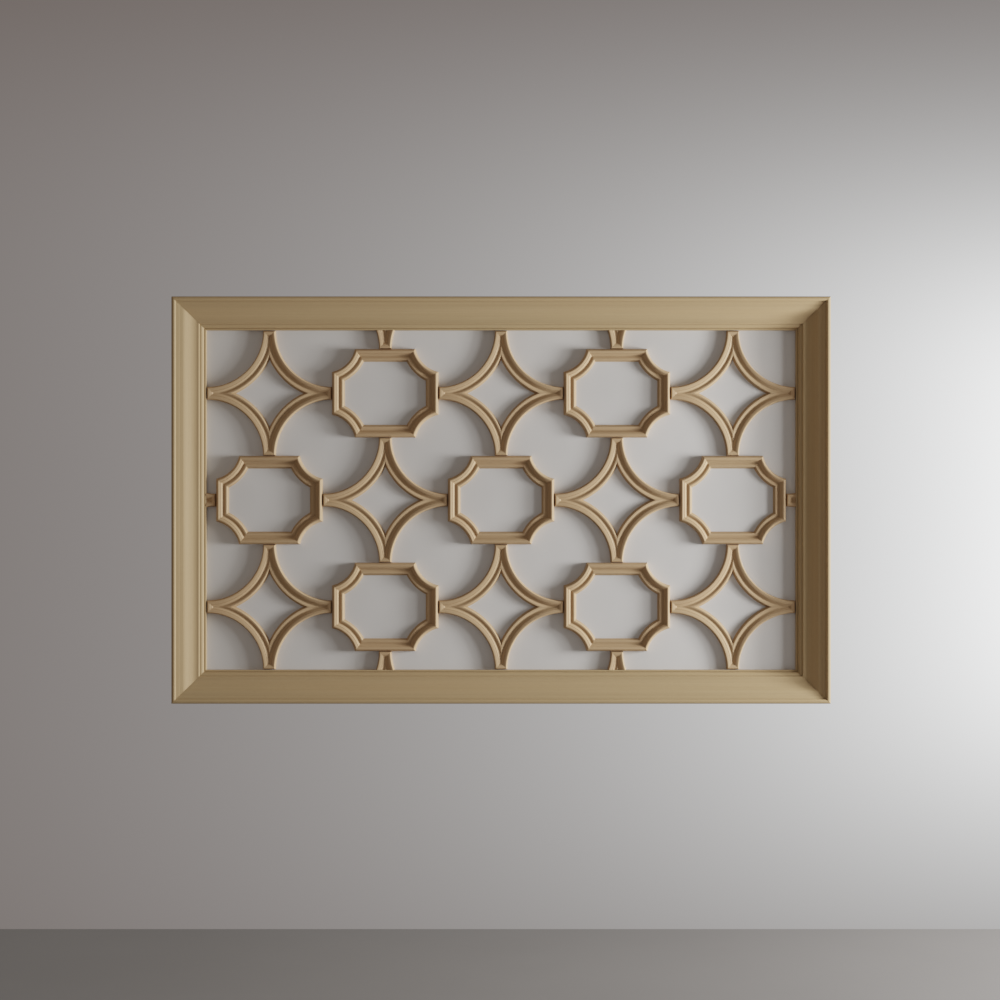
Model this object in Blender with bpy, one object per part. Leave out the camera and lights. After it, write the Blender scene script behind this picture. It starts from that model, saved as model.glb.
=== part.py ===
"""Tracery wall panel: mitred frame, flat backing board, and planted octagon and star mouldings.

Metres, +Z up. The origin is the middle of the flat back, and the front looks along -Y.
An inset runs inward from a moulding's outer edge, and a height runs out from the board's face.
"""

import math

import bmesh
import bpy
from mathutils import Matrix, Vector

# Gaps between neighbouring pieces
TOUCH_GAP = 0.0003
TIP_GAP_X = 0.0006
TIP_GAP_Z = 0.0004
FRAME_GAP_X = 0.0016
FRAME_GAP_Z = 0.0014
BOARD_EDGE_GAP = 0.001

# Backing board
BOARD_THICKNESS = 0.012
RABBET_WIDTH = 0.020

# Section that the tracery mouldings share, from the outer edge inward
BREAK_INSET = 0.0130
LOWER_SLOPE_RUN = 0.0084
FACET_RUN = 0.0098
LIP_FALL_RUN = 0.0044
FOOT_RUN = 0.0032
BREAK_DROP = 0.0020
VALLEY_HEIGHT = 0.0092
LIP_HEIGHT = 0.0128
FOOT_HEIGHT = 0.0045
EDGE_HEIGHT = 0.0020
MOULDING_WIDTH = BREAK_INSET + LOWER_SLOPE_RUN + FACET_RUN + LIP_FALL_RUN + FOOT_RUN
SHOULDER_SEGMENTS = 2

# Octagons: a rectangle whose corners are cut by concave arcs
OCTAGON_WIDTH = 0.326
OCTAGON_HEIGHT = 0.2712
CORNER_NOTCH = 0.070
CORNER_ARC_RADIUS = 0.092
OCTAGON_SHOULDER_RUN = 0.0078
OCTAGON_RIDGE_HEIGHT = 0.0212
OCTAGON_ARC_SEGMENTS = 4

# Stars: a square whose corners are cut by arcs centred on them
STAR_SPAN = 0.3823
STAR_TIP_WIDTH = 0.039
STAR_ARC_RADIUS = (STAR_SPAN - STAR_TIP_WIDTH) / 2
STAR_SHOULDER_RUN = 0.0045
STAR_RIDGE_HEIGHT = 0.0170
STAR_ARC_SEGMENTS = 7

# Frame section, from the outer edge inward
FRAME_LIP_HEIGHT = 0.068
FRAME_LIP_OUTER_RUN = 0.0075
FRAME_LIP_OUTER_FALL = 0.005
FRAME_LIP_INNER_RUN = 0.006
FRAME_LIP_INNER_FALL = 0.0065
BAND_RUN = 0.0100
BAND_FALL = 0.0029
BAND_NOTCH = 0.0008
LEDGE_RUN = 0.0085
LEDGE_FALL = 0.0023
OGEE_RUN = 0.044
OGEE_FALL = 0.0215
OGEE_SKEW = 0.75
FLAT_RUN = 0.0020
NOSE_RUN = 0.0030
NOSE_FALL = 0.0060
SHELF_RUN = 0.0030
OVOLO_RUN = 0.0090
OVOLO_FALL = 0.0120
QUIRK_RISE = 0.0012
QUIRK_RUN = 0.0025
RIM_RUN = 0.0030
RIM_ROUND = 0.0012
LIP_SEGMENTS = 3
OGEE_SEGMENTS = 8
ROUND_SEGMENTS = 2

# Layout on a checkerboard of cells: octagons on the even cells, stars on the odd ones
LAST_COLUMN = 2
LAST_ROW = 1
PITCH_X = STAR_SPAN / 2 + OCTAGON_WIDTH / 2 + TIP_GAP_X
PITCH_Z = STAR_SPAN / 2 + OCTAGON_HEIGHT / 2 + TIP_GAP_Z
OPENING_HALF_X = LAST_COLUMN * PITCH_X + STAR_SPAN / 2 + FRAME_GAP_X
OPENING_HALF_Z = LAST_ROW * PITCH_Z + STAR_SPAN / 2 + FRAME_GAP_Z

MERGE_DISTANCE = 1e-6
CUT_DISTANCE = 1e-7
CUTTER_MARGIN = 0.05

WOOD_COLOUR = (0.36, 0.28, 0.17, 1.0)
BOARD_COLOUR = (0.62, 0.61, 0.59, 1.0)


def clear_scene():
    for item in list(bpy.data.objects):
        bpy.data.objects.remove(item, do_unlink=True)


def new_collection(name):
    collection = bpy.data.collections.new(name)
    bpy.context.scene.collection.children.link(collection)
    return collection


def new_material(name, colour, roughness):
    material = bpy.data.materials.new(name)
    material.use_nodes = True
    shader = material.node_tree.nodes["Principled BSDF"]
    shader.inputs["Base Color"].default_value = colour
    shader.inputs["Roughness"].default_value = roughness
    shader.inputs["Metallic"].default_value = 0.0
    return material


def add_object(name, mesh, collection, material, location=(0.0, 0.0, 0.0)):
    piece = bpy.data.objects.new(name, mesh)
    piece.location = location
    collection.objects.link(piece)
    if material and not mesh.materials:
        mesh.materials.append(material)
    return piece


def finished_mesh(bm, name):
    bmesh.ops.recalc_face_normals(bm, faces=bm.faces)
    mesh = bpy.data.meshes.new(name)
    bm.to_mesh(mesh)
    bm.free()
    return mesh


def quarter_ellipse(start, end, segments, bulge_first):
    """Points after start, up to end, along a quarter ellipse.

    With bulge_first the curve leaves start along the height axis, and otherwise along the inset.
    """
    run = end[0] - start[0]
    rise = end[1] - start[1]
    points = []
    for step in range(1, segments + 1):
        turn = math.pi / 2 * step / segments
        if bulge_first:
            points.append((start[0] + run * (1 - math.cos(turn)), start[1] + rise * math.sin(turn)))
        else:
            points.append((start[0] + run * math.sin(turn), start[1] + rise * (1 - math.cos(turn))))
    return points


def tracery_section(shoulder_run, ridge_height):
    """(inset, height) points of a tracery moulding, from its outer foot to its inner foot."""
    valley = BREAK_INSET + LOWER_SLOPE_RUN
    lip = valley + FACET_RUN
    foot = lip + LIP_FALL_RUN
    points = [(0.0, 0.0)]
    points += quarter_ellipse(points[0], (shoulder_run, ridge_height), SHOULDER_SEGMENTS, True)
    points.append((BREAK_INSET, ridge_height - BREAK_DROP))
    points.append((valley, VALLEY_HEIGHT))
    points.append((lip, LIP_HEIGHT))
    points.append((foot, FOOT_HEIGHT))
    points.append((MOULDING_WIDTH, EDGE_HEIGHT))
    points.append((MOULDING_WIDTH, 0.0))
    return points


def with_point_at(section, inset):
    """The section with one more point, on its line, at the given inset."""
    points = []
    for here, after in zip(section, section[1:]):
        points.append(here)
        if here[0] < inset < after[0]:
            share = (inset - here[0]) / (after[0] - here[0])
            points.append((inset, here[1] + share * (after[1] - here[1])))
    points.append(section[-1])
    return points


def notched_ring(half_x, half_z, arc_centre, arc_radius, inset, segments):
    """Outline of a rectangle with a concave arc at each corner, moved inward by inset.

    Where an arc would cross an axis, its end stops there, and the outline has a cusp.
    """
    radius = arc_radius + inset
    right = half_x - inset
    top = half_z - inset
    lowest = arc_centre.y - math.sqrt(radius**2 - (arc_centre.x - right) ** 2)
    leftmost = arc_centre.x - math.sqrt(radius**2 - (arc_centre.y - top) ** 2)
    if lowest < 0:
        right, lowest = arc_centre.x - math.sqrt(radius**2 - arc_centre.y**2), 0.0
    if leftmost < 0:
        top, leftmost = arc_centre.y - math.sqrt(radius**2 - arc_centre.x**2), 0.0
    first = math.asin((arc_centre.x - right) / radius)
    last = math.acos((arc_centre.y - top) / radius)
    quarter = []
    for step in range(segments + 1):
        turn = first + (last - first) * step / segments
        quarter.append(arc_centre - radius * Vector((math.sin(turn), math.cos(turn))))
    quarter[0] = Vector((right, lowest))
    quarter[-1] = Vector((leftmost, top))
    ring = list(quarter)
    ring += [Vector((-point.x, point.y)) for point in reversed(quarter)]
    ring += [Vector((-point.x, -point.y)) for point in quarter]
    ring += [Vector((point.x, -point.y)) for point in reversed(quarter)]
    return ring


def octagon_ring(inset):
    reach = math.sqrt(2 * CORNER_ARC_RADIUS**2 - CORNER_NOTCH**2)
    overhang = (reach - CORNER_NOTCH) / 2
    arc_centre = Vector((OCTAGON_WIDTH / 2 + overhang, OCTAGON_HEIGHT / 2 + overhang))
    return notched_ring(
        OCTAGON_WIDTH / 2,
        OCTAGON_HEIGHT / 2,
        arc_centre,
        CORNER_ARC_RADIUS,
        inset,
        OCTAGON_ARC_SEGMENTS,
    )


def star_ring(inset):
    half = STAR_SPAN / 2
    return notched_ring(half, half, Vector((half, half)), STAR_ARC_RADIUS, inset, STAR_ARC_SEGMENTS)


def star_cusp_inset():
    """Inset at which the two sides of a star's arm meet on its middle line."""
    half = STAR_SPAN / 2
    return (half**2 - STAR_ARC_RADIUS**2) / (2 * STAR_ARC_RADIUS)


def ring_moulding(name, outline, section):
    """A closed moulding: one outline for each point of the section, lofted all round."""
    bm = bmesh.new()
    rings = []
    for inset, height in section:
        rings.append([bm.verts.new((point.x, -height, point.y)) for point in outline(inset)])
    for inner, outer in zip(rings, rings[1:] + rings[:1]):
        for place in range(len(inner)):
            after = (place + 1) % len(inner)
            bm.faces.new((inner[place], inner[after], outer[after], outer[place]))
    bmesh.ops.remove_doubles(bm, verts=bm.verts, dist=MERGE_DISTANCE)
    return finished_mesh(bm, name)


def frame_section():
    """(inset, height) outline of a frame length, clockwise from its outer back edge."""
    lip_start = (0.0, FRAME_LIP_HEIGHT - FRAME_LIP_OUTER_FALL)
    lip_crown = (FRAME_LIP_OUTER_RUN, FRAME_LIP_HEIGHT)
    lip_end = (lip_crown[0] + FRAME_LIP_INNER_RUN, FRAME_LIP_HEIGHT - FRAME_LIP_INNER_FALL)
    band_end = (lip_end[0] + BAND_RUN, lip_end[1] - BAND_NOTCH - BAND_FALL)
    ledge_end = (band_end[0] + LEDGE_RUN, band_end[1] - BAND_NOTCH - LEDGE_FALL)
    ogee_end = (ledge_end[0] + OGEE_RUN, ledge_end[1] - OGEE_FALL)
    flat_end = (ogee_end[0] + FLAT_RUN, ogee_end[1])
    nose_end = (flat_end[0] + NOSE_RUN, flat_end[1] - NOSE_FALL)
    shelf_end = (nose_end[0] + SHELF_RUN, nose_end[1])
    ovolo_end = (shelf_end[0] + OVOLO_RUN, shelf_end[1] - OVOLO_FALL)
    rim_start = (ovolo_end[0] + QUIRK_RUN, ovolo_end[1] + QUIRK_RISE)
    rim_end = (rim_start[0] + RIM_RUN, rim_start[1] - RIM_ROUND)
    rabbet = rim_end[0] - RABBET_WIDTH
    points = [(0.0, -BOARD_THICKNESS), lip_start]
    points += quarter_ellipse(lip_start, lip_crown, LIP_SEGMENTS, True)
    points += quarter_ellipse(lip_crown, lip_end, LIP_SEGMENTS, False)
    points.append((lip_end[0], lip_end[1] - BAND_NOTCH))
    points.append(band_end)
    points.append((band_end[0], band_end[1] - BAND_NOTCH))
    points.append(ledge_end)
    for step in range(1, OGEE_SEGMENTS + 1):
        share = step / OGEE_SEGMENTS
        fall = OGEE_FALL * (1 - math.cos(math.pi * share ** OGEE_SKEW)) / 2
        points.append((ledge_end[0] + OGEE_RUN * share, ledge_end[1] - fall))
    points.append(flat_end)
    points += quarter_ellipse(flat_end, nose_end, ROUND_SEGMENTS, False)
    points.append(shelf_end)
    points += quarter_ellipse(shelf_end, ovolo_end, ROUND_SEGMENTS, False)
    points.append(rim_start)
    points += quarter_ellipse(rim_start, rim_end, ROUND_SEGMENTS, False)
    points += [(rim_end[0], TOUCH_GAP), (rabbet, TOUCH_GAP), (rabbet, -BOARD_THICKNESS)]
    return points


def saw_cut(bm, point, direction):
    """Cuts the solid along a plane, drops what lies ahead of it and closes the cut."""
    cut = bmesh.ops.bisect_plane(
        bm,
        geom=bm.verts[:] + bm.edges[:] + bm.faces[:],
        dist=CUT_DISTANCE,
        plane_co=point,
        plane_no=direction,
        clear_outer=True,
    )
    rim = [item for item in cut["geom_cut"] if isinstance(item, bmesh.types.BMEdge)]
    bmesh.ops.edgeloop_fill(bm, edges=rim)


def frame_length(name, section, half_length, half_across):
    """A length of frame along X whose outer edge is at +Z, mitred at both ends."""
    bm = bmesh.new()
    start = -half_length - CUTTER_MARGIN
    corners = []
    for inset, height in section:
        corners.append(bm.verts.new((start, -BOARD_THICKNESS - height, half_across - inset)))
    end_face = bm.faces.new(corners)
    bar = bmesh.ops.extrude_face_region(bm, geom=[end_face])
    moved = [item for item in bar["geom"] if isinstance(item, bmesh.types.BMVert)]
    bmesh.ops.translate(bm, verts=moved, vec=(-2 * start, 0.0, 0.0))
    for side in (-1, 1):
        saw_direction = Vector((side, 0.0, -1.0)).normalized()
        corner = Vector((side * half_length, 0.0, half_across))
        saw_cut(bm, corner - saw_direction * TOUCH_GAP / 2, saw_direction)
    return finished_mesh(bm, name)


def add_frame(collection, material):
    section = frame_section()
    frame_width = max(inset for inset, _ in section)
    half_x = OPENING_HALF_X + frame_width
    half_z = OPENING_HALF_Z + frame_width
    rail = frame_length("frame_rail", section, half_x, half_z)
    stile = frame_length("frame_stile", section, half_z, half_x)
    sides = (("top", rail, 0), ("right", stile, 90), ("bottom", rail, 180), ("left", stile, 270))
    for side, mesh, turn in sides:
        piece = add_object(f"frame_{side}", mesh, collection, material)
        piece.rotation_euler.y = math.radians(turn)


def add_board(collection, material):
    half_x = OPENING_HALF_X + RABBET_WIDTH - BOARD_EDGE_GAP
    half_z = OPENING_HALF_Z + RABBET_WIDTH - BOARD_EDGE_GAP
    bm = bmesh.new()
    bmesh.ops.create_cube(bm, size=1.0)
    bmesh.ops.scale(bm, verts=bm.verts, vec=(2 * half_x, BOARD_THICKNESS, 2 * half_z))
    bmesh.ops.translate(bm, verts=bm.verts, vec=(0.0, -BOARD_THICKNESS / 2, 0.0))
    add_object("backing_board", finished_mesh(bm, "backing_board"), collection, material)


def cell_location(column, row):
    return Vector((column * PITCH_X, -BOARD_THICKNESS - TOUCH_GAP, row * PITCH_Z))


def cell_name(kind, column, row):
    height = ("bottom", "middle", "top")[row + 1]
    side = "left" if column < 0 else "right" if column > 0 else "centre"
    return f"{kind}_{height}_{side}"


def add_tracery(collection, material, star_mesh):
    octagon_section = tracery_section(OCTAGON_SHOULDER_RUN, OCTAGON_RIDGE_HEIGHT)
    octagon_mesh = ring_moulding("octagon", octagon_ring, octagon_section)
    for row in range(-LAST_ROW, LAST_ROW + 1):
        for column in range(-LAST_COLUMN, LAST_COLUMN + 1):
            is_star = (column + row) % 2 == 1
            kind = "star" if is_star else "octagon"
            mesh = star_mesh if is_star else octagon_mesh
            place = cell_location(column, row)
            add_object(cell_name(kind, column, row), mesh, collection, material, place)


def opening_cutter(collection):
    """The space inside the frame, which cuts off the stars that would run under it."""
    bm = bmesh.new()
    bmesh.ops.create_cube(bm, size=2.0)
    reach = (OPENING_HALF_X - TOUCH_GAP, CUTTER_MARGIN * 2, OPENING_HALF_Z - TOUCH_GAP)
    bmesh.ops.transform(bm, verts=bm.verts, matrix=Matrix.Diagonal((*reach, 1.0)))
    cutter = add_object("opening_space", finished_mesh(bm, "opening_space"), collection, None)
    cutter.hide_render = True
    cutter.display_type = "WIRE"
    return cutter


def add_cut_tips(collection, material, star_mesh, cutter):
    """Single tips of the stars that the frame cuts off, one cell beyond the whole ones."""
    cut_stars = {"tip_left": (-LAST_COLUMN - 1, 0), "tip_right": (LAST_COLUMN + 1, 0)}
    for row, height in ((LAST_ROW + 1, "top"), (-LAST_ROW - 1, "bottom")):
        for column, side in ((-1, "left"), (1, "right")):
            cut_stars[f"tip_{height}_{side}"] = (column, row)
    for name, (column, row) in cut_stars.items():
        tip = add_object(name, star_mesh.copy(), collection, material, cell_location(column, row))
        trim = tip.modifiers.new("trim to opening", "BOOLEAN")
        trim.operation = "INTERSECT"
        trim.object = cutter


def shade(collection):
    for piece in collection.objects:
        piece.data.shade_smooth()
        piece.data.set_sharp_from_angle(angle=math.radians(20))


def main():
    clear_scene()
    panel = new_collection("tracery_panel")
    cutters = new_collection("cutters")
    wood = new_material("pale_wood", WOOD_COLOUR, 0.5)
    painted_board = new_material("painted_board", BOARD_COLOUR, 0.7)
    star_section = tracery_section(STAR_SHOULDER_RUN, STAR_RIDGE_HEIGHT)
    star_section = with_point_at(star_section, star_cusp_inset())
    star_mesh = ring_moulding("star", star_ring, star_section)
    add_board(panel, painted_board)
    add_frame(panel, wood)
    add_tracery(panel, wood, star_mesh)
    add_cut_tips(panel, wood, star_mesh, opening_cutter(cutters))
    shade(panel)


main()
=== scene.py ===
import math
import random

import bmesh
import bpy
import numpy as np
from mathutils import Matrix, Vector


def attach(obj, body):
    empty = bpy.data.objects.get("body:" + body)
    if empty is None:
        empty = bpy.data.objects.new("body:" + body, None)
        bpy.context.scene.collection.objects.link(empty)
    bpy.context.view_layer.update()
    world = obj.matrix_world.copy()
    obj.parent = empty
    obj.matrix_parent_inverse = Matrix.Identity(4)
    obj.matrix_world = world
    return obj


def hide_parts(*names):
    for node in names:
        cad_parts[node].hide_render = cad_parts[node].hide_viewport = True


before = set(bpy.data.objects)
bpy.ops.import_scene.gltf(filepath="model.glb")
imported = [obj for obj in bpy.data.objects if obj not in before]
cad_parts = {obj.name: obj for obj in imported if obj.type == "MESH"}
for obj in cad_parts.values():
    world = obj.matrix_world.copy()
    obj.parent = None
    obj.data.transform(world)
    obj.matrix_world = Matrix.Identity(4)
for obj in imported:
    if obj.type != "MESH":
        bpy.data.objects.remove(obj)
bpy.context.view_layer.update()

# Sizes of the solids, in metres: gaps and board
TOUCH_GAP = 0.0003
TIP_GAP_X = 0.0006
TIP_GAP_Z = 0.0004
FRAME_GAP_X = 0.0016
FRAME_GAP_Z = 0.0014
BOARD_EDGE_GAP = 0.001
BOARD_THICKNESS = 0.012
RABBET_WIDTH = 0.020

# Tracery section
BREAK_INSET = 0.0130
LOWER_SLOPE_RUN = 0.0084
FACET_RUN = 0.0098
LIP_FALL_RUN = 0.0044
FOOT_RUN = 0.0032
BREAK_DROP = 0.0020
VALLEY_HEIGHT = 0.0092
LIP_HEIGHT = 0.0128
FOOT_HEIGHT = 0.0045
EDGE_HEIGHT = 0.0020
MOULDING_WIDTH = BREAK_INSET + LOWER_SLOPE_RUN + FACET_RUN + LIP_FALL_RUN + FOOT_RUN

# Octagons and stars
OCTAGON_WIDTH = 0.326
OCTAGON_HEIGHT = 0.2712
CORNER_NOTCH = 0.070
CORNER_ARC_RADIUS = 0.092
OCTAGON_SHOULDER_RUN = 0.0078
OCTAGON_RIDGE_HEIGHT = 0.0212
STAR_SPAN = 0.3823
STAR_TIP_WIDTH = 0.039
STAR_ARC_RADIUS = (STAR_SPAN - STAR_TIP_WIDTH) / 2
STAR_SHOULDER_RUN = 0.0045
STAR_RIDGE_HEIGHT = 0.0170

# Frame section
FRAME_LIP_HEIGHT = 0.068
FRAME_LIP_OUTER_RUN = 0.0075
FRAME_LIP_OUTER_FALL = 0.005
FRAME_LIP_INNER_RUN = 0.006
FRAME_LIP_INNER_FALL = 0.0065
BAND_RUN = 0.0100
BAND_FALL = 0.0029
BAND_NOTCH = 0.0008
LEDGE_RUN = 0.0085
LEDGE_FALL = 0.0023
OGEE_RUN = 0.044
OGEE_FALL = 0.0215
OGEE_SKEW = 0.75
FLAT_RUN = 0.0020
NOSE_RUN = 0.0030
NOSE_FALL = 0.0060
SHELF_RUN = 0.0030
OVOLO_RUN = 0.0090
OVOLO_FALL = 0.0120
QUIRK_RISE = 0.0012
QUIRK_RUN = 0.0025
RIM_RUN = 0.0030
RIM_ROUND = 0.0012

# Layout
LAST_COLUMN = 2
LAST_ROW = 1
PITCH_X = STAR_SPAN / 2 + OCTAGON_WIDTH / 2 + TIP_GAP_X
PITCH_Z = STAR_SPAN / 2 + OCTAGON_HEIGHT / 2 + TIP_GAP_Z
OPENING_HALF_X = LAST_COLUMN * PITCH_X + STAR_SPAN / 2 + FRAME_GAP_X
OPENING_HALF_Z = LAST_ROW * PITCH_Z + STAR_SPAN / 2 + FRAME_GAP_Z

# Fine shape of the visible tracery: a quirk at the break, a cove down to the valley, a soft lip
BREAK_QUIRK_WIDTH = 0.0020
BREAK_QUIRK_FLOOR = 0.0007
BREAK_QUIRK_DEPTH = 0.00176
BREAK_QUIRK_END_DEPTH = 0.00128
QUIRK_ROUND = 0.0003
SLOPE_SHARES = (0.25, 0.5, 0.75, 1.0)
SLOPE_BEND = 1.5
COVE_SHARES = (0.35, 0.65, 0.88)
COVE_BEND = 1.15
VALLEY_SHIFT = 0.0014
VALLEY_ROUND = 0.0005
LIP_SHOULDER_SHARE = 0.72
LIP_SHOULDER_DROP = 0.0006
LIP_SHOULDER_ROUND = 0.0016
FOOT_ROUND = 0.0008

# Edges, joint lines and the board's edge
ARRIS_ROUND = 0.0005
EASING_LIMIT = 0.45
JOINT_HALF_WIDTH = 0.00018
JOINT_DEPTH = 0.00025
MITRE_EASE = 0.000216
BOARD_ROUND = 0.0008
MERGE_DISTANCE = 1e-6
CUT_TOLERANCE = 1e-7
SHARP_ANGLE = math.radians(38)
NORMAL_WEIGHT = 60

# How finely the sections are divided
EASING_STEPS = 3
SHOULDER_STEPS = 9
TRACERY_LIP_STEPS = 5
FRAME_LIP_STEPS = 7
OGEE_STEPS = 28
NOSE_STEPS = 5
OVOLO_STEPS = 5
RIM_STEPS = 4
BOARD_ROUND_STEPS = 2

# How finely the lengths are divided
OCTAGON_ARC_STEPS = 14
OCTAGON_SIDE_STEPS = 6
STAR_ARC_STEPS = 40
STAR_SIDE_STEPS = 2
FRAME_STEPS = 10
MEASURING_STEPS = 8

# Inset at which a ring's lengths are measured, and the least length of a straight side
CROWN_INSET = 0.007
LEAST_SIDE = 0.004

# Reach, along the section, and number of samples by which hollows and edges are told apart
HOLLOW_REACH = 0.0030
HOLLOW_SAMPLES = 13

# Stock that a length is cut from: reach along and across the grain, turn of the rings, tone
STOCK_LENGTH = 40.0
STOCK_SPREAD = 2.0
STOCK_TURN = 0.5
TONE_SPREAD = 0.7
TONE_LIMIT = 1.6

# Colours, linear
FRAME_PALE = (0.420, 0.302, 0.168, 1.0)
FRAME_DEEP = (0.370, 0.262, 0.141, 1.0)
TRACERY_PALE = (0.460, 0.314, 0.184, 1.0)
TRACERY_DEEP = (0.406, 0.272, 0.154, 1.0)
BOARD_TINT = (0.610, 0.602, 0.594, 1.0)
FLOOR_TINTS = ((0.182, 0.175, 0.172, 1.0), (0.194, 0.187, 0.184, 1.0))
NO_LIGHT = (0.0, 0.0, 0.0, 1.0)

# Wood patterns: cells per metre along and twice across the grain, octaves, their roughness
RINGS = ((1.4, 150.0, 150.0), 3.0, 0.6)
STREAKS = ((5.0, 620.0, 620.0), 3.0, 0.6)
FIBRES = ((30.0, 2300.0, 2300.0), 2.0, 0.5)
PORES = ((55.0, 3100.0, 3100.0), 1.0, 0.5)
PATCHES = ((1.1, 9.0, 9.0), 2.0, 0.5)

# Wood ranges: lowest and highest value of the pattern, and what they become
PORE_RANGE = (0.60, 0.70, 0.0, 1.0)
FIGURE_RANGE = (0.34, 0.66, 0.0, 1.0)
WARM_RANGE = (0.40, 0.66, 0.0, 0.40)
FIBRE_RANGE = (0.30, 0.70, 0.0, 0.10)
TONE_RANGE = (-2.0, 2.0, 0.955, 1.045)
# Painted shade: how far the wood is darkened in the hollows of each section
HOLLOW_SHADE_RANGE = (0.03, 0.30, 0.0, 0.30)
WEAR_RANGE = (-0.12, -0.40, 0.0, 0.35)
WEAR_PATCH_RANGE = (0.42, 0.60, 0.3, 1.0)
WOOD_ROUGHNESS_RANGE = (0.3, 0.7, 0.52, 0.62)

# Wood shares: rings and streaks in the figure, pores in the colour, roughness and relief
RING_SHARE = 0.55
STREAK_SHARE = 0.45
PORE_SHARE = 0.22
PORE_ROUGHNESS = 0.10
STREAK_RELIEF = 0.5
FIBRE_RELIEF = 0.35
PORE_RELIEF = 0.35
WOOD_BUMP = (0.35, 0.00025)
WOOD_SPECULAR = 0.14

# Factors that turn the pale or deep colour into that of patches, fibres, pores, painted shade in hollows
# and wear
WARM_FACTORS = (1.0, 0.925, 0.90)
FIBRE_FACTORS = (0.8, 0.8, 0.8)
PORE_FACTORS = (0.45, 0.42, 0.38)
# Painted shade: the darker colour laid into the hollows of each section
HOLLOW_SHADE_FACTORS = (0.52, 0.54, 0.54)
WEAR_FACTORS = (1.10, 1.10, 1.12)

# Paint: patterns, ranges, shares and factors, told as for the wood
STIPPLE = ((620.0, 620.0, 620.0), 3.0, 0.6)
BLOBS = ((210.0, 210.0, 160.0), 2.0, 0.5)
CLOUDS = ((3.4, 3.4, 2.2), 3.0, 0.55)
CLOUD_RANGE = (0.35, 0.65, 0.0, 1.0)
STIPPLE_RANGE = (0.35, 0.65, 0.0, 0.10)
PAINT_ROUGHNESS_RANGE = (0.3, 0.7, 0.58, 0.70)
STIPPLE_RELIEF = 0.6
BLOB_RELIEF = 0.4
PAINT_BUMP = (0.30, 0.0003)
PAINT_SPECULAR = 0.30
DARKER_FACTORS = (0.955, 0.955, 0.955)
LIGHTER_FACTORS = (1.035, 1.035, 1.035)

# Camera and lights
CAMERA_PLACE = (-0.0032, -6.285, 0.0002)
SENSOR_WIDTH = 36.0
LENS = 73.645
KEY_DISTANCE = 3.65
KEY_COLOUR = (1.0, 0.985, 0.965)
# Place in front of the panel's back, width, height and power of each light
KEY_LIGHTS = ((0.750, 0.56, 1.35, 226.0), (1.310, 0.90, 1.25, 119.0))
KEY_LEVEL = -0.05

# Floor
FLOOR_LEVEL = -1.318
FLOOR_REACH = 7.0
FLOOR_CLOUDS = ((1.3, 1.3, 1.3), 3.0, 0.5)
FLOOR_RANGE = (0.3, 0.7, 0.0, 1.0)
FLOOR_ROUGHNESS = 0.6

# Surroundings that the camera sees: plain, and ahead of it dim with a bright part
SURROUND_PLAIN = (0.40, 0.395, 0.39, 1.0)
SURROUND_DIM = (0.035, 0.010, 0.0, 1.0)
SURROUND_BRIGHT = (4.545, 4.63, 4.656, 1.0)
AHEAD_RANGE = (0.80, 0.93, 0.0, 1.0)
# Middle and reach of the bright part, by the direction's X and Z, and its fall
GLOW_MIDDLE = 0.297
GLOW_REACH = 0.055
GLOW_REACH_UP = 0.077
GLOW_REACH_DOWN = 0.094
GLOW_LEVEL_BLEND = 0.002
GLOW_EVENNESS = 3.9
GLOW_FALL = -0.7265

# Weak fill that lights the panel: from everywhere, more from the front, and more from behind
FILL_EVEN = (0.086, 0.075, 0.066, 1.0)
FILL_FRONT = (0.318, 0.280, 0.247, 1.0)
FILL_BACK = (0.170, 0.160, 0.150, 1.0)
FILL_FRONT_DIRECTION = (-0.25, -0.96, 0.10)
FILL_FRONT_NARROWNESS = 2.0

draw = random.Random(27)


def quarter_ellipse(start, end, steps, bulge_first):
    """Points after start, up to end, along a quarter ellipse."""
    run = end[0] - start[0]
    rise = end[1] - start[1]
    points = []
    for step in range(1, steps + 1):
        turn = math.pi / 2 * step / steps
        if bulge_first:
            points.append((start[0] + run * (1 - math.cos(turn)), start[1] + rise * math.sin(turn)))
        else:
            points.append((start[0] + run * math.sin(turn), start[1] + rise * (1 - math.cos(turn))))
    return points


def rounded(corners):
    """A closed outline whose corners (inset, height, radius) are eased with short curves."""
    points = []
    count = len(corners)
    for place, (inset, height, radius) in enumerate(corners):
        here = Vector((inset, height))
        if radius <= 0:
            points.append(tuple(here))
            continue
        before = Vector(corners[place - 1][:2]) - here
        after = Vector(corners[(place + 1) % count][:2]) - here
        turn = math.pi - before.angle(after)
        reach = min(radius * math.tan(turn / 2), EASING_LIMIT * before.length, EASING_LIMIT * after.length)
        start = here + before.normalized() * reach
        end = here + after.normalized() * reach
        for step in range(EASING_STEPS + 1):
            share = step / EASING_STEPS
            point = start * (1 - share) ** 2 + here * 2 * share * (1 - share) + end * share**2
            points.append(tuple(point))
    return points


def plain(points):
    """The points as corners without easing."""
    return [(inset, height, 0.0) for inset, height in points]


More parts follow.
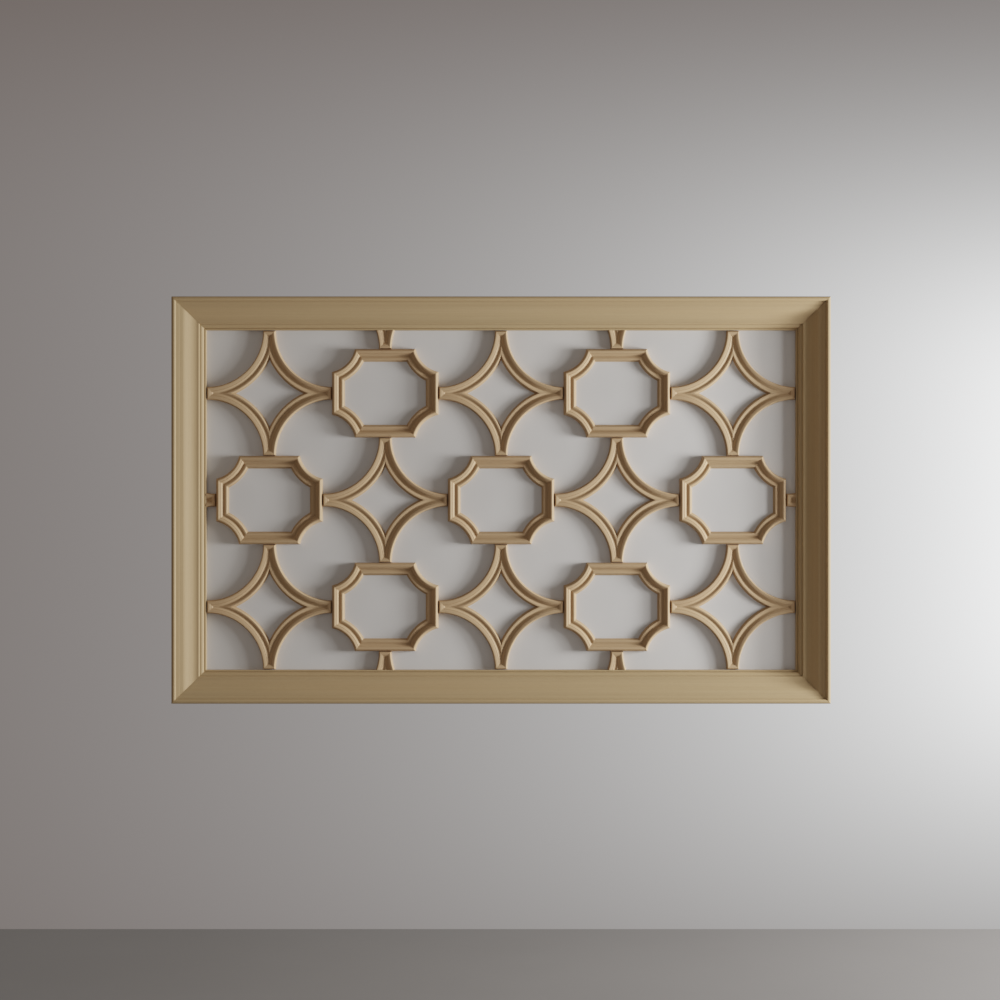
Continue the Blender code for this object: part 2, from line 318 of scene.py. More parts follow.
def tracery_section(shoulder_run, ridge_height):
    """Outline of a tracery moulding: shoulder, convex slope, quirk, cove, facet, lip and foot."""
    valley = BREAK_INSET + LOWER_SLOPE_RUN + VALLEY_SHIFT
    lip = BREAK_INSET + LOWER_SLOPE_RUN + FACET_RUN
    foot = lip + LIP_FALL_RUN
    slope_run = BREAK_INSET - shoulder_run
    break_height = ridge_height - BREAK_DROP
    cove_start = BREAK_INSET + BREAK_QUIRK_WIDTH
    cove_top = break_height - BREAK_QUIRK_END_DEPTH
    outline = [(0.0, 0.0, 0.0)]
    outline += plain(quarter_ellipse((0.0, 0.0), (shoulder_run, ridge_height), SHOULDER_STEPS, True))
    for share in SLOPE_SHARES:
        drop = BREAK_DROP * share**SLOPE_BEND
        outline.append((shoulder_run + slope_run * share, ridge_height - drop, 0.0))
    outline.append((BREAK_INSET + BREAK_QUIRK_FLOOR, break_height - BREAK_QUIRK_DEPTH, 0.0))
    outline.append((cove_start, cove_top, QUIRK_ROUND))
    for share in COVE_SHARES:
        fall = (cove_top - VALLEY_HEIGHT) * math.sin(math.pi / 2 * share) ** COVE_BEND
        outline.append((cove_start + (valley - cove_start) * share, cove_top - fall, 0.0))
    outline.append((valley, VALLEY_HEIGHT, VALLEY_ROUND))
    lip_shoulder = valley + (lip - valley) * LIP_SHOULDER_SHARE
    outline.append((lip_shoulder, LIP_HEIGHT - LIP_SHOULDER_DROP, LIP_SHOULDER_ROUND))
    outline += plain(quarter_ellipse((lip, LIP_HEIGHT), (foot, FOOT_HEIGHT), TRACERY_LIP_STEPS, False))
    outline.append((MOULDING_WIDTH, EDGE_HEIGHT, FOOT_ROUND))
    outline.append((MOULDING_WIDTH, 0.0, 0.0))
    return rounded(outline)


def frame_section():
    """Outline of a frame length: lip, band and ledge, ogee, flat, nose, shelf, ovolo and rim."""
    lip_start = (0.0, FRAME_LIP_HEIGHT - FRAME_LIP_OUTER_FALL)
    lip_crown = (FRAME_LIP_OUTER_RUN, FRAME_LIP_HEIGHT)
    lip_end = (lip_crown[0] + FRAME_LIP_INNER_RUN, FRAME_LIP_HEIGHT - FRAME_LIP_INNER_FALL)
    band_end = (lip_end[0] + BAND_RUN, lip_end[1] - BAND_NOTCH - BAND_FALL)
    ledge_end = (band_end[0] + LEDGE_RUN, band_end[1] - BAND_NOTCH - LEDGE_FALL)
    ogee_end = (ledge_end[0] + OGEE_RUN, ledge_end[1] - OGEE_FALL)
    flat_end = (ogee_end[0] + FLAT_RUN, ogee_end[1])
    nose_end = (flat_end[0] + NOSE_RUN, flat_end[1] - NOSE_FALL)
    shelf_end = (nose_end[0] + SHELF_RUN, nose_end[1])
    ovolo_end = (shelf_end[0] + OVOLO_RUN, shelf_end[1] - OVOLO_FALL)
    rim_start = (ovolo_end[0] + QUIRK_RUN, ovolo_end[1] + QUIRK_RISE)
    rim_end = (rim_start[0] + RIM_RUN, rim_start[1] - RIM_ROUND)
    rabbet = rim_end[0] - RABBET_WIDTH
    outline = [(0.0, -BOARD_THICKNESS, ARRIS_ROUND), (*lip_start, 0.0)]
    outline += plain(quarter_ellipse(lip_start, lip_crown, FRAME_LIP_STEPS, True))
    outline += plain(quarter_ellipse(lip_crown, lip_end, FRAME_LIP_STEPS, False))
    outline.append((lip_end[0], lip_end[1] - BAND_NOTCH, 0.0))
    outline.append((*band_end, ARRIS_ROUND))
    outline.append((band_end[0], band_end[1] - BAND_NOTCH, 0.0))
    outline.append((*ledge_end, 0.0))
    for step in range(1, OGEE_STEPS + 1):
        share = step / OGEE_STEPS
        fall = OGEE_FALL * (1 - math.cos(math.pi * share**OGEE_SKEW)) / 2
        outline.append((ledge_end[0] + OGEE_RUN * share, ledge_end[1] - fall, 0.0))
    outline.append((*flat_end, 0.0))
    outline += plain(quarter_ellipse(flat_end, nose_end, NOSE_STEPS, False))
    outline.append((*shelf_end, 0.0))
    outline += plain(quarter_ellipse(shelf_end, ovolo_end, OVOLO_STEPS, False))
    outline.append((*rim_start, QUIRK_ROUND))
    outline += plain(quarter_ellipse(rim_start, rim_end, RIM_STEPS, False))
    outline += plain([(rim_end[0], TOUCH_GAP), (rabbet, TOUCH_GAP)])
    outline.append((rabbet, -BOARD_THICKNESS, ARRIS_ROUND))
    return rounded(outline)


def outward_normals(section):
    """Unit normals of a clockwise outline, each the mean of its two edges."""
    points = np.array(section)
    ahead = np.roll(points, -1, axis=0) - points
    ahead /= np.maximum(np.linalg.norm(ahead, axis=1, keepdims=True), 1e-12)
    mean = ahead + np.roll(ahead, 1, axis=0)
    mean /= np.maximum(np.linalg.norm(mean, axis=1, keepdims=True), 1e-12)
    return np.column_stack((-mean[:, 1], mean[:, 0]))


def shrunk(section, depth):
    """The outline moved inward, which gives the bottom of a joint line."""
    return np.array(section) - outward_normals(section) * depth


def hollows(section):
    """How far each point lies in a hollow (above 0) or on an edge (below 0) of the outline."""
    points = np.array(section)
    closed = np.vstack((points, points[:1]))
    steps = np.linalg.norm(np.diff(closed, axis=0), axis=1)
    travelled = np.concatenate(([0.0], np.cumsum(steps)))
    total = travelled[-1]
    values = np.zeros(len(points))
    normals = outward_normals(section)
    for share in np.linspace(-1.0, 1.0, HOLLOW_SAMPLES):
        at = np.mod(travelled[:-1] + share * HOLLOW_REACH, total)
        near = np.column_stack([np.interp(at, travelled, closed[:, axis]) for axis in (0, 1)])
        values += np.sum((near - points) * normals, axis=1) / HOLLOW_SAMPLES
    return values / HOLLOW_REACH


def quarter_arc(half_x, half_z, arc_centre, arc_radius, inset, shares):
    """Points of the corner arc in the first quarter, and whether it ends on each axis."""
    radius = arc_radius + inset
    right = half_x - inset
    top = half_z - inset
    lowest = arc_centre[1] - math.sqrt(radius**2 - (arc_centre[0] - right) ** 2)
    leftmost = arc_centre[0] - math.sqrt(radius**2 - (arc_centre[1] - top) ** 2)
    on_axis = lowest < MERGE_DISTANCE
    if on_axis:
        right = arc_centre[0] - math.sqrt(radius**2 - arc_centre[1] ** 2)
        top = arc_centre[1] - math.sqrt(radius**2 - arc_centre[0] ** 2)
        lowest = 0.0
        leftmost = 0.0
    first = math.asin((arc_centre[0] - right) / radius)
    last = math.acos((arc_centre[1] - top) / radius)
    turns = first + (last - first) * shares
    arc = np.column_stack((arc_centre[0] - radius * np.sin(turns), arc_centre[1] - radius * np.cos(turns)))
    arc[0] = (right, lowest)
    arc[-1] = (leftmost, top)
    return arc, on_axis


def shares_with_joint(steps, length):
    """Places along a length from 0 to 1, with one close to each end for the joint line."""
    edge = JOINT_HALF_WIDTH / length
    inner = np.linspace(0.0, 1.0, steps + 1)[1:-1]
    return np.concatenate(([0.0, edge], inner, [1.0 - edge, 1.0]))


def with_point_at(section, inset):
    """The outline with one more point wherever it crosses the given inset above its base."""
    points = []
    for place, here in enumerate(section):
        after = section[(place + 1) % len(section)]
        points.append(here)
        if (here[0] - inset) * (after[0] - inset) < 0 and max(here[1], after[1]) > 0:
            share = (inset - here[0]) / (after[0] - here[0])
            points.append((inset, here[1] + share * (after[1] - here[1])))
    return points


def star_cusp_inset():
    """Inset at which the two sides of a star's arm meet on its middle line."""
    half = STAR_SPAN / 2
    return (half**2 - STAR_ARC_RADIUS**2) / (2 * STAR_ARC_RADIUS)


class Ring:
    """A closed outline of four corner arcs and four straight sides, at any inset."""

    def __init__(self, half_x, half_z, arc_centre, arc_radius, arc_steps, side_steps):
        self.shape = (half_x, half_z, arc_centre, arc_radius)
        arc, _ = quarter_arc(*self.shape, CROWN_INSET, np.linspace(0.0, 1.0, MEASURING_STEPS + 1))
        arc_length = float(np.sum(np.linalg.norm(np.diff(arc, axis=0), axis=1)))
        tall = max(2 * float(arc[0][1]), LEAST_SIDE)
        wide = max(2 * float(arc[-1][0]), LEAST_SIDE)
        self.arc_shares = shares_with_joint(arc_steps, arc_length)
        self.wide_shares = shares_with_joint(side_steps, wide)
        self.tall_shares = shares_with_joint(side_steps, tall)
        self.lengths = [arc_length, wide, arc_length, tall] * 2
        shares_of_lengths = [self.arc_shares, self.wide_shares, self.arc_shares, self.tall_shares] * 2
        self.member_of = [place for place, shares in enumerate(shares_of_lengths) for _ in shares[:-1]]
        self.share_of = [share for shares in shares_of_lengths for share in shares[:-1]]
        self.is_joint = np.array(self.share_of) == 0.0
        self.is_side = np.array([member % 2 == 1 for member in self.member_of])

    def outline(self, inset):
        """Every station's point at this inset, and whether the straight sides have no length."""
        arc, on_axis = quarter_arc(*self.shape, inset, self.arc_shares)
        mirror_x = np.array((-1.0, 1.0))
        mirror_z = np.array((1.0, -1.0))
        arcs = [arc, (arc * mirror_x)[::-1], -arc, (arc * mirror_z)[::-1]]
        points = []
        for place, here in enumerate(arcs):
            after = arcs[(place + 1) % 4]
            side_shares = self.wide_shares if place % 2 == 0 else self.tall_shares
            points.append(here[:-1])
            points.append(here[-1] + (after[0] - here[-1]) * side_shares[:-1, None])
        return np.vstack(points), on_axis


class Stock:
    """The piece of timber that a length was cut from: its place, turn of the rings and tone."""

    def __init__(self):
        self.along = draw.uniform(0.0, STOCK_LENGTH)
        self.across = draw.uniform(-STOCK_SPREAD, STOCK_SPREAD)
        self.through = draw.uniform(-STOCK_SPREAD, STOCK_SPREAD)
        self.turn = draw.uniform(-STOCK_TURN, STOCK_TURN)
        self.tone = max(-TONE_LIMIT, min(TONE_LIMIT, draw.gauss(0.0, TONE_SPREAD)))

    def grain_at(self, along, inset, height):
        """Place in the timber of a point of the length."""
        return (
            self.along + along,
            self.across + inset * math.cos(self.turn) - height * math.sin(self.turn),
            self.through + inset * math.sin(self.turn) + height * math.cos(self.turn),
        )


def add_attributes(mesh, grain, tone, hollow):
    """Stores, for each face corner, what the wood material reads."""
    for name, kind, slot_name, values in (
        ("grain", "FLOAT_VECTOR", "vector", grain),
        ("tone", "FLOAT", "value", tone),
        ("hollow", "FLOAT", "value", hollow),
    ):
        attribute = mesh.attributes.new(name, kind, "CORNER")
        attribute.data.foreach_set(slot_name, np.asarray(values, dtype=np.float32).ravel())


def welded(mesh, cuts=()):
    """Joins points that meet, cuts the mesh along planes and closes each cut."""
    bm = bmesh.new()
    bm.from_mesh(mesh)
    bmesh.ops.remove_doubles(bm, verts=bm.verts, dist=MERGE_DISTANCE)
    for point, direction in cuts:
        cut = bmesh.ops.bisect_plane(
            bm,
            geom=bm.verts[:] + bm.edges[:] + bm.faces[:],
            dist=CUT_TOLERANCE,
            plane_co=point,
            plane_no=direction,
            clear_outer=True,
        )
        rim = [item for item in cut["geom_cut"] if isinstance(item, bmesh.types.BMEdge)]
        bmesh.ops.edgeloop_fill(bm, edges=rim)
    bmesh.ops.recalc_face_normals(bm, faces=bm.faces)
    bm.to_mesh(mesh)
    bm.free()
    return mesh


def ring_points(ring, shallow, deep):
    """Points of the swept section, sunk at the joints and where sides of no length meet."""
    points = np.zeros((len(shallow), len(ring.share_of), 3))
    for row in range(len(shallow)):
        upper, on_axis = ring.outline(max(shallow[row][0], 0.0))
        lower, _ = ring.outline(max(deep[row][0], 0.0))
        is_deep = ring.is_joint | (ring.is_side & on_axis)
        flat = np.where(is_deep[:, None], lower, upper)
        height = np.where(is_deep, max(deep[row][1], 0.0), shallow[row][1])
        points[row, :, 0] = flat[:, 0]
        points[row, :, 1] = -height
        points[row, :, 2] = flat[:, 1]
    return points.reshape(-1, 3)


def ring_mesh(name, ring, section):
    """The section swept round the ring, with a joint line at the end of each length."""
    shallow = np.array(section)
    points = ring_points(ring, shallow, shrunk(section, JOINT_DEPTH))
    hollow = hollows(section)
    sections = len(section)
    stations = len(ring.share_of)
    stocks = [Stock() for _ in ring.lengths]
    faces, grain, tone, hollow_values = [], [], [], []
    for row in range(sections):
        other = (row + 1) % sections
        for station in range(stations):
            after = (station + 1) % stations
            member = ring.member_of[station]
            stock = stocks[member]
            share = ring.share_of[station]
            next_share = ring.share_of[after] if ring.member_of[after] == member else 1.0
            corners = (
                (row, station, share),
                (row, after, next_share),
                (other, after, next_share),
                (other, station, share),
            )
            faces.append([at * stations + column for at, column, _ in corners])
            for at, _, along in corners:
                grain.append(stock.grain_at(along * ring.lengths[member], *shallow[at]))
                tone.append(stock.tone)
                hollow_values.append(hollow[at])
    mesh = bpy.data.meshes.new(name)
    mesh.from_pydata(points.tolist(), [], faces)
    add_attributes(mesh, grain, tone, hollow_values)
    return mesh


def frame_mesh(name, half_length, half_across):
    """A length of frame along X with its outer edge at +Z, mitred, with eased mitre edges."""
    section = frame_section()
    shallow = np.array(section)
    deep = shrunk(section, JOINT_DEPTH)
    hollow = hollows(section)
    sections = len(section)
    shares = [-1.0] + list(np.linspace(-1.0, 1.0, FRAME_STEPS + 1)) + [1.0]
    last = len(shares) - 1
    stock = Stock()
    points, coordinates = [], []
    for column, share in enumerate(shares):
        profile = deep if column in (0, last) else shallow
        ease = MITRE_EASE if column in (1, last - 1) else 0.0
        for row in range(sections):
            inset, height = profile[row]
            reach = half_length - inset - TOUCH_GAP / math.sqrt(2) - ease
            points.append((share * reach, -BOARD_THICKNESS - height, half_across - inset))
            coordinates.append(stock.grain_at(share * reach, *shallow[row]))
    faces = [list(range(sections))]
    for column in range(last):
        for row in range(sections):
            other = (row + 1) % sections
            faces.append([
                column * sections + row,
                (column + 1) * sections + row,
                (column + 1) * sections + other,
                column * sections + other,
            ])
    faces.append([last * sections + row for row in range(sections)][::-1])
    mesh = bpy.data.meshes.new(name)
    mesh.from_pydata(points, [], faces)
    order = [corner for face in faces for corner in face]
    add_attributes(
        mesh,
        [coordinates[corner] for corner in order],
        [stock.tone] * len(order),
        [hollow[corner % sections] for corner in order],
    )
    return mesh


def board_mesh(name):
    """The flat backing board with rounded edges."""
    half_x = OPENING_HALF_X + RABBET_WIDTH - BOARD_EDGE_GAP
    half_z = OPENING_HALF_Z + RABBET_WIDTH - BOARD_EDGE_GAP
    bm = bmesh.new()
    bmesh.ops.create_cube(bm, size=1.0)
    bmesh.ops.scale(bm, verts=bm.verts, vec=(2 * half_x, BOARD_THICKNESS, 2 * half_z))
    bmesh.ops.translate(bm, verts=bm.verts, vec=(0.0, -BOARD_THICKNESS / 2, 0.0))
    bmesh.ops.bevel(
        bm,
        geom=bm.edges[:],
        offset=BOARD_ROUND,
        segments=BOARD_ROUND_STEPS,
        affect="EDGES",
        profile=0.5,
    )
    mesh = bpy.data.meshes.new(name)
    bm.to_mesh(mesh)
    bm.free()
    return mesh


def add_node(tree, kind, settings=None, inputs=None):
    """A shader node with its settings, and inputs that are values or another node's output."""
    node = tree.nodes.new(kind)
    for key, value in (settings or {}).items():
        setattr(node, key, value)
    for key, value in (inputs or {}).items():
        if isinstance(value, bpy.types.NodeSocket):
            tree.links.new(value, node.inputs[key])
        else:
            node.inputs[key].default_value = value
    return node


def new_tree(name):
    """A new material, its node tree and its shader."""
    material = bpy.data.materials.new(name)
    material.use_nodes = True
    return material, material.node_tree, material.node_tree.nodes["Principled BSDF"]


def attribute_of(tree, name, output):
    """A value that the mesh stores under this name."""
    node = add_node(tree, "ShaderNodeAttribute", {"attribute_type": "GEOMETRY", "attribute_name": name})
    return node.outputs[output]


def noise_of(tree, vector, pattern):
    """Noise in a pattern of cells per metre each way, octaves and their roughness."""
    cells, octaves, roughness = pattern
    scaled = add_node(tree, "ShaderNodeVectorMath", {"operation": "MULTIPLY"}, {0: vector, 1: cells})
    inputs = {"Vector": scaled.outputs[0], "Scale": 1.0, "Detail": octaves, "Roughness": roughness}
    return add_node(tree, "ShaderNodeTexNoise", {"noise_dimensions": "3D"}, inputs).outputs["Fac"]


def mapped(tree, value, low, high, new_low, new_high):
    """The value moved from one range to another and kept within it."""
    inputs = {"Value": value, "From Min": low, "From Max": high, "To Min": new_low, "To Max": new_high}
    return add_node(tree, "ShaderNodeMapRange", {"clamp": True}, inputs).outputs["Result"]


def calculated(tree, operation, first, second):
    return add_node(tree, "ShaderNodeMath", {"operation": operation}, {0: first, 1: second}).outputs[0]


def added(tree, first, first_share, second, second_share):
    """Two values added, each by its share."""
    first_part = calculated(tree, "MULTIPLY", first, first_share)
    second_part = calculated(tree, "MULTIPLY", second, second_share)
    return calculated(tree, "ADD", first_part, second_part)


def mixed(tree, share, first, second, blend="MIX"):
    """Two colours mixed, by sockets because the node repeats its inputs' names."""
    node = add_node(tree, "ShaderNodeMix", {"data_type": "RGBA", "blend_type": blend})
    for socket, value in ((node.inputs[0], share), (node.inputs[6], first), (node.inputs[7], second)):
        if isinstance(value, bpy.types.NodeSocket):
            tree.links.new(value, socket)
        else:
            socket.default_value = value
    return node.outputs[2]


def toned(colour, factors):
    """The colour with each channel times its factor, up to 1."""
    return tuple(min(1.0, value * factor) for value, factor in zip(colour, factors)) + (1.0,)


def add_bump(tree, shader, relief, strength, distance):
    inputs = {"Height": relief, "Strength": strength, "Distance": distance}
    bump = add_node(tree, "ShaderNodeBump", None, inputs)
    tree.links.new(bump.outputs[0], shader.inputs["Normal"])


def wood_material(name, pale, deep):
    """Pale straight-grained wood under a satin finish, with grain along each length."""
    material, tree, shader = new_tree(name)
    grain = attribute_of(tree, "grain", "Vector")
    tone = attribute_of(tree, "tone", "Fac")
    hollow = attribute_of(tree, "hollow", "Fac")
    rings = noise_of(tree, grain, RINGS)
    streaks = noise_of(tree, grain, STREAKS)
    fibres = noise_of(tree, grain, FIBRES)
    pores = mapped(tree, noise_of(tree, grain, PORES), *PORE_RANGE)
    patches = noise_of(tree, grain, PATCHES)

    figure = added(tree, rings, RING_SHARE, streaks, STREAK_SHARE)
    colour = mixed(tree, mapped(tree, figure, *FIGURE_RANGE), pale, deep)
    warm = mapped(tree, patches, *WARM_RANGE)
    colour = mixed(tree, warm, colour, toned(pale, WARM_FACTORS))
    fine = mapped(tree, fibres, *FIBRE_RANGE)
    colour = mixed(tree, fine, colour, toned(deep, FIBRE_FACTORS))
    open_pores = calculated(tree, "MULTIPLY", pores, PORE_SHARE)
    colour = mixed(tree, open_pores, colour, toned(deep, PORE_FACTORS))
    lighter = mapped(tree, tone, *TONE_RANGE)
    scaled = {0: colour, "Scale": lighter}
    colour = add_node(tree, "ShaderNodeVectorMath", {"operation": "SCALE"}, scaled).outputs[0]
    # Painted shade: the wood is darkened in the hollows of the section, standing in for the shade that
    # falls there
    painted_hollow_shade = mapped(tree, hollow, *HOLLOW_SHADE_RANGE)
    colour = mixed(tree, painted_hollow_shade, colour, toned(deep, HOLLOW_SHADE_FACTORS))
    worn_edges = mapped(tree, hollow, *WEAR_RANGE)
    worn_places = mapped(tree, patches, *WEAR_PATCH_RANGE)
    worn = calculated(tree, "MULTIPLY", worn_edges, worn_places)
    colour = mixed(tree, worn, colour, toned(pale, WEAR_FACTORS))
    tree.links.new(colour, shader.inputs["Base Color"])

    satin = mapped(tree, streaks, *WOOD_ROUGHNESS_RANGE)
    rough = calculated(tree, "ADD", satin, calculated(tree, "MULTIPLY", pores, PORE_ROUGHNESS))
    tree.links.new(rough, shader.inputs["Roughness"])
    relief = added(tree, streaks, STREAK_RELIEF, fibres, FIBRE_RELIEF)
    relief = calculated(tree, "SUBTRACT", relief, calculated(tree, "MULTIPLY", pores, PORE_RELIEF))
    add_bump(tree, shader, relief, *WOOD_BUMP)
    shader.inputs["Specular IOR Level"].default_value = WOOD_SPECULAR
    return material


def paint_material(name, tint):
    """Matt paint laid on with a roller: a fine stipple, faint cloudiness, a little unevenness."""
    material, tree, shader = new_tree(name)
    place = add_node(tree, "ShaderNodeTexCoord").outputs["Object"]
    stipple = noise_of(tree, place, STIPPLE)
    blobs = noise_of(tree, place, BLOBS)
    clouds = noise_of(tree, place, CLOUDS)
    darker = toned(tint, DARKER_FACTORS)
    lighter = toned(tint, LIGHTER_FACTORS)
    colour = mixed(tree, mapped(tree, clouds, *CLOUD_RANGE), darker, lighter)
    colour = mixed(tree, mapped(tree, stipple, *STIPPLE_RANGE), colour, darker)
    tree.links.new(colour, shader.inputs["Base Color"])
    tree.links.new(mapped(tree, blobs, *PAINT_ROUGHNESS_RANGE), shader.inputs["Roughness"])
    add_bump(tree, shader, added(tree, stipple, STIPPLE_RELIEF, blobs, BLOB_RELIEF), *PAINT_BUMP)
    shader.inputs["Specular IOR Level"].default_value = PAINT_SPECULAR
    return material


def add_piece(node, mesh, material):
    """The piece that stands for a node of the solids."""
    mesh.materials.append(material)
    mesh.shade_smooth()
    mesh.set_sharp_from_angle(angle=SHARP_ANGLE)
    piece = bpy.data.objects.new(f"{node}_dressed", mesh)
    bpy.context.scene.collection.objects.link(piece)
    weighted = piece.modifiers.new("even normals", "WEIGHTED_NORMAL")
    weighted.keep_sharp = True
    weighted.weight = NORMAL_WEIGHT
    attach(piece, "root")
    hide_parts(node)


def cell_location(column, row):
    return Vector((column * PITCH_X, -BOARD_THICKNESS - TOUCH_GAP, row * PITCH_Z))


def cell_name(kind, column, row):
    height = ("bottom", "middle", "top")[row + 1]
    side = "left" if column < 0 else "right" if column > 0 else "centre"
    return f"{kind}_{height}_{side}"


def octagon_ring():
    half_x = OCTAGON_WIDTH / 2
    half_z = OCTAGON_HEIGHT / 2
    overhang = (math.sqrt(2 * CORNER_ARC_RADIUS**2 - CORNER_NOTCH**2) - CORNER_NOTCH) / 2
    arc_centre = (half_x + overhang, half_z + overhang)
    return Ring(half_x, half_z, arc_centre, CORNER_ARC_RADIUS, OCTAGON_ARC_STEPS, OCTAGON_SIDE_STEPS)


def star_ring():
    half = STAR_SPAN / 2
    return Ring(half, half, (half, half), STAR_ARC_RADIUS, STAR_ARC_STEPS, STAR_SIDE_STEPS)


def add_cells(octagon, star, material):
    """The seven octagons and the eight whole stars, in turn along each row."""
    for row in range(-LAST_ROW, LAST_ROW + 1):
        for column in range(-LAST_COLUMN, LAST_COLUMN + 1):
            is_star = (column + row) % 2 == 1
            name = cell_name("star" if is_star else "octagon", column, row)
            mesh = ring_mesh(name, *(star if is_star else octagon))
            mesh.transform(Matrix.Translation(cell_location(column, row)))
            add_piece(name, welded(mesh), material)


def add_tips(star, material):
    """The six tips of further stars, cut off where the frame begins."""
    places = {"tip_left": (-LAST_COLUMN - 1, 0), "tip_right": (LAST_COLUMN + 1, 0)}
    for row, height in ((LAST_ROW + 1, "top"), (-LAST_ROW - 1, "bottom")):
        for column, side in ((-1, "left"), (1, "right")):
            places[f"tip_{height}_{side}"] = (column, row)
    for name, (column, row) in places.items():
        mesh = ring_mesh(name, *star)
        mesh.transform(Matrix.Translation(cell_location(column, row)))
        across = Vector((math.copysign(1.0, column), 0.0, 0.0))
        upward = Vector((0.0, 0.0, math.copysign(1.0, row)))
        if row == 0:
            cut = (across * (OPENING_HALF_X - TOUCH_GAP), across)
        else:
            cut = (upward * (OPENING_HALF_Z - TOUCH_GAP), upward)
        add_piece(name, welded(mesh, [cut]), material)


def add_tracery(material):
    octagon_section = tracery_section(OCTAGON_SHOULDER_RUN, OCTAGON_RIDGE_HEIGHT)
    star_section = tracery_section(STAR_SHOULDER_RUN, STAR_RIDGE_HEIGHT)
    octagon = (octagon_ring(), octagon_section)
    star = (star_ring(), with_point_at(star_section, star_cusp_inset()))
    add_cells(octagon, star, material)
    add_tips(star, material)


def add_frame(material):
    """The four lengths of the frame, each turned to its side."""
    frame_width = max(inset for inset, _ in frame_section())
    half_x = OPENING_HALF_X + frame_width
    half_z = OPENING_HALF_Z + frame_width
    lengths = {
        "top": (half_x, half_z),
        "right": (half_z, half_x),
        "bottom": (half_x, half_z),
        "left": (half_z, half_x),
    }
    for quarter_turns, (side, (half_length, half_across)) in enumerate(lengths.items()):
        name = f"frame_{side}"
        mesh = frame_mesh(name, half_length, half_across)
        mesh.transform(Matrix.Rotation(math.radians(90) * quarter_turns, 4, "Y"))
        add_piece(name, welded(mesh), material)


def add_key_light(name, forward, width, height, power):
    """A soft oval light to the right of the panel, turned to the left and hidden from the camera."""
    light = bpy.data.lights.new(name, "AREA")
    light.shape = "ELLIPSE"
    light.size = width
    light.size_y = height
    light.energy = power
    light.color = KEY_COLOUR
    lamp = bpy.data.objects.new(name, light)
    lamp.location = (KEY_DISTANCE, -forward, KEY_LEVEL)
    lamp.visible_camera = False
    lamp.rotation_mode = "QUATERNION"
    lamp.rotation_quaternion = Vector((-KEY_DISTANCE, 0.0, 0.0)).to_track_quat("-Z", "Y")
    bpy.context.scene.collection.objects.link(lamp)


def add_floor():
    """A plain pale floor up to the plane of the panel's back, seen only from above."""
    material, tree, shader = new_tree("studio_floor")
    place = add_node(tree, "ShaderNodeTexCoord").outputs["Object"]
    clouds = noise_of(tree, place, FLOOR_CLOUDS)
    colour = mixed(tree, mapped(tree, clouds, *FLOOR_RANGE), *FLOOR_TINTS)
    tree.links.new(colour, shader.inputs["Base Color"])
    shader.inputs["Roughness"].default_value = FLOOR_ROUGHNESS
    clear = add_node(tree, "ShaderNodeBsdfTransparent")
    below = add_node(tree, "ShaderNodeNewGeometry").outputs["Backfacing"]
    sides = {0: below, 1: shader.outputs[0], 2: clear.outputs[0]}
    one_sided = add_node(tree, "ShaderNodeMixShader", None, sides)
    tree.links.new(one_sided.outputs[0], tree.nodes["Material Output"].inputs["Surface"])
    corners = [
        (-FLOOR_REACH, -FLOOR_REACH, FLOOR_LEVEL),
        (FLOOR_REACH, -FLOOR_REACH, FLOOR_LEVEL),
        (FLOOR_REACH, 0.0, FLOOR_LEVEL),
        (-FLOOR_REACH, 0.0, FLOOR_LEVEL),
    ]
    mesh = bpy.data.meshes.new("studio_floor")
    mesh.from_pydata(corners, [], [(0, 1, 2, 3)])
    mesh.materials.append(material)
    floor = bpy.data.objects.new("studio_floor", mesh)
    bpy.context.scene.collection.objects.link(floor)


def seen_surroundings(tree, ways):
    """What the camera sees: plain, and ahead of it a soft glow to the right."""
    across = calculated(tree, "DIVIDE", calculated(tree, "SUBTRACT", ways["X"], GLOW_MIDDLE), GLOW_REACH)
    level_range = (-GLOW_LEVEL_BLEND, GLOW_LEVEL_BLEND, GLOW_REACH_DOWN, GLOW_REACH_UP)
    reach = mapped(tree, ways["Z"], *level_range)
    height = calculated(tree, "DIVIDE", calculated(tree, "ABSOLUTE", ways["Z"], 0.0), reach)
    spread = calculated(tree, "ADD", calculated(tree, "MULTIPLY", across, across), 1.0)
    spread = calculated(tree, "ADD", calculated(tree, "POWER", height, GLOW_EVENNESS), spread)
    glow = mixed(tree, calculated(tree, "POWER", spread, GLOW_FALL), SURROUND_DIM, SURROUND_BRIGHT)
    return mixed(tree, mapped(tree, ways["Y"], *AHEAD_RANGE), SURROUND_PLAIN, glow)


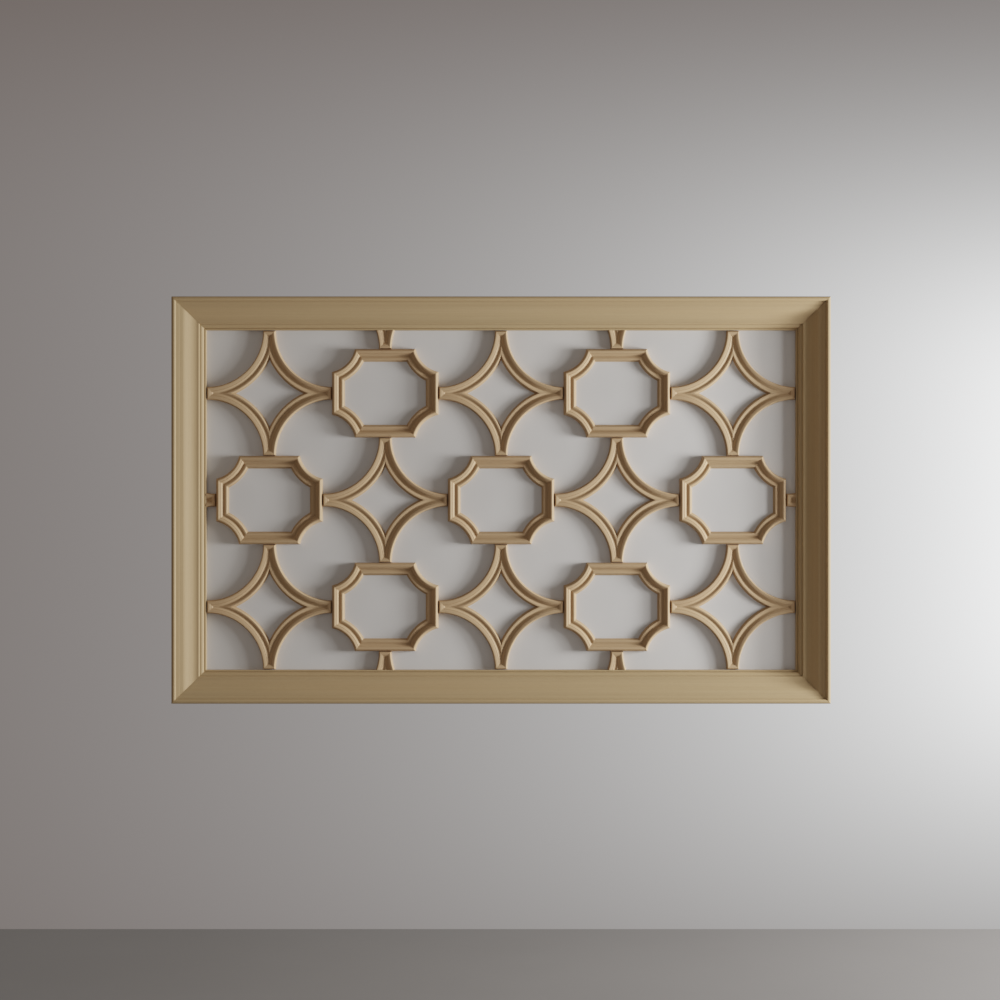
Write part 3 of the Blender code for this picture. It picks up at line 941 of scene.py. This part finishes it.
def fill_light(tree, direction, ways):
    """What lights the panel from each direction."""
    inputs = {0: direction, 1: FILL_FRONT_DIRECTION}
    frontal = add_node(tree, "ShaderNodeVectorMath", {"operation": "DOT_PRODUCT"}, inputs).outputs["Value"]
    frontal = calculated(tree, "MAXIMUM", frontal, 0.0)
    frontal = calculated(tree, "POWER", frontal, FILL_FRONT_NARROWNESS)
    from_front = mixed(tree, frontal, NO_LIGHT, FILL_FRONT)
    from_back = mixed(tree, calculated(tree, "MAXIMUM", ways["Y"], 0.0), NO_LIGHT, FILL_BACK)
    return mixed(tree, 1.0, mixed(tree, 1.0, from_front, from_back, "ADD"), FILL_EVEN, "ADD")


def add_world():
    """Surroundings for the camera, and a weak fill for all other rays."""
    world = bpy.data.worlds.new("studio")
    bpy.context.scene.world = world
    world.use_nodes = True
    tree = world.node_tree
    tree.nodes.clear()
    direction = add_node(tree, "ShaderNodeTexCoord").outputs["Generated"]
    ways = add_node(tree, "ShaderNodeSeparateXYZ", None, {0: direction}).outputs
    seen = seen_surroundings(tree, ways)
    fill = fill_light(tree, direction, ways)
    camera_ray = add_node(tree, "ShaderNodeLightPath").outputs["Is Camera Ray"]
    inputs = {"Color": mixed(tree, camera_ray, fill, seen), "Strength": 1.0}
    background = add_node(tree, "ShaderNodeBackground", None, inputs)
    output = add_node(tree, "ShaderNodeOutputWorld")
    tree.links.new(background.outputs[0], output.inputs["Surface"])


def add_camera():
    """A level camera at the height of the panel's middle."""
    data = bpy.data.cameras.new("photo_view")
    data.sensor_width = SENSOR_WIDTH
    data.lens = LENS
    camera = bpy.data.objects.new("photo_view", data)
    camera.location = CAMERA_PLACE
    camera.rotation_euler = (math.radians(90), 0.0, 0.0)
    bpy.context.scene.collection.objects.link(camera)
    bpy.context.scene.camera = camera


def main():
    bpy.context.scene.view_settings.view_transform = "Filmic"
    frame_wood = wood_material("frame_wood", FRAME_PALE, FRAME_DEEP)
    tracery_wood = wood_material("tracery_wood", TRACERY_PALE, TRACERY_DEEP)
    paint = paint_material("painted_board", BOARD_TINT)
    add_piece("backing_board", board_mesh("backing_board"), paint)
    add_frame(frame_wood)
    add_tracery(tracery_wood)
    for place, key_light in enumerate(KEY_LIGHTS):
        add_key_light(f"key_{place}", *key_light)
    add_floor()
    add_world()
    add_camera()


main()
